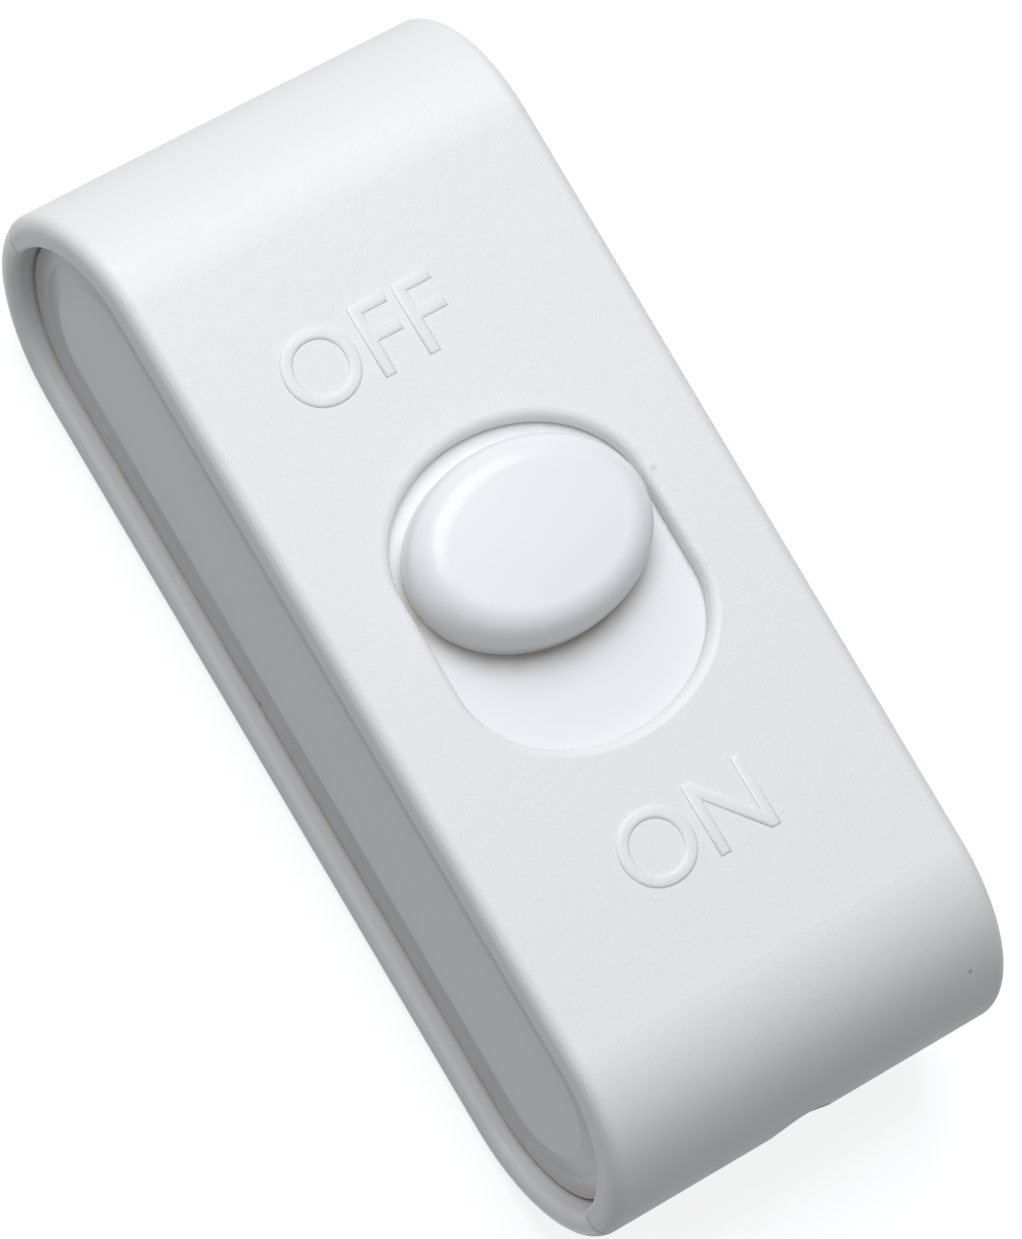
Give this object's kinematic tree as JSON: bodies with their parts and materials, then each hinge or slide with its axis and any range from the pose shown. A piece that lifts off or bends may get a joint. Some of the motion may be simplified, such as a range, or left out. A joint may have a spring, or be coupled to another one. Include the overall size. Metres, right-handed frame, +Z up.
{
  "type": "inline cord switch",
  "caption": "Flat inline cord switch with round ends, recessed side panels and an oval slide button in a window of its top face; a cord enters at each end and is clamped inside.",
  "frame": {"origin": "middle of the flat underside", "axes": "+X along the length, from the off end to the on end; +Y across the width; +Z up out of the top face"},
  "size_m": [0.0758, 0.0324, 0.0228],
  "materials": {
    "shell_white": "satin",
    "button_white": "gloss",
    "clamp_plastic": "satin",
    "contact_brass": "satin",
    "spring_steel": "satin",
    "washer_steel": "satin",
    "screw_steel": "satin"
  },
  "bodies": {
    "housing": {"top_shell": "shell_white", "bottom_shell": "shell_white", "detent_spring": "spring_steel", "live_terminal_in": "contact_brass", "live_terminal_out": "contact_brass", "neutral_link": "contact_brass", "terminal_washer_neutral_in": "washer_steel", "terminal_washer_live_in": "washer_steel", "terminal_washer_neutral_out": "washer_steel", "terminal_washer_live_out": "washer_steel", "terminal_screw_neutral_in": "screw_steel", "terminal_screw_live_in": "screw_steel", "terminal_screw_neutral_out": "screw_steel", "terminal_screw_live_out": "screw_steel", "clamp_screw_front_in": "screw_steel", "clamp_screw_rear_in": "screw_steel", "clamp_screw_front_out": "screw_steel", "clamp_screw_rear_out": "screw_steel", "housing_screw_in": "screw_steel", "housing_screw_out": "screw_steel", "cord_clamp_in": "clamp_plastic", "cord_clamp_out": "clamp_plastic"},
    "slider": {"slide_button": "button_white", "moving_contact": "contact_brass", "contact_spring": "spring_steel"}
  },
  "joints": [
    {"name": "button_slide", "type": "slide", "parent": "housing", "child": "slider", "axis": [1, 0, 0], "range_m": [0, 0.0054], "deforming": ["detent_spring"]}
  ]
}
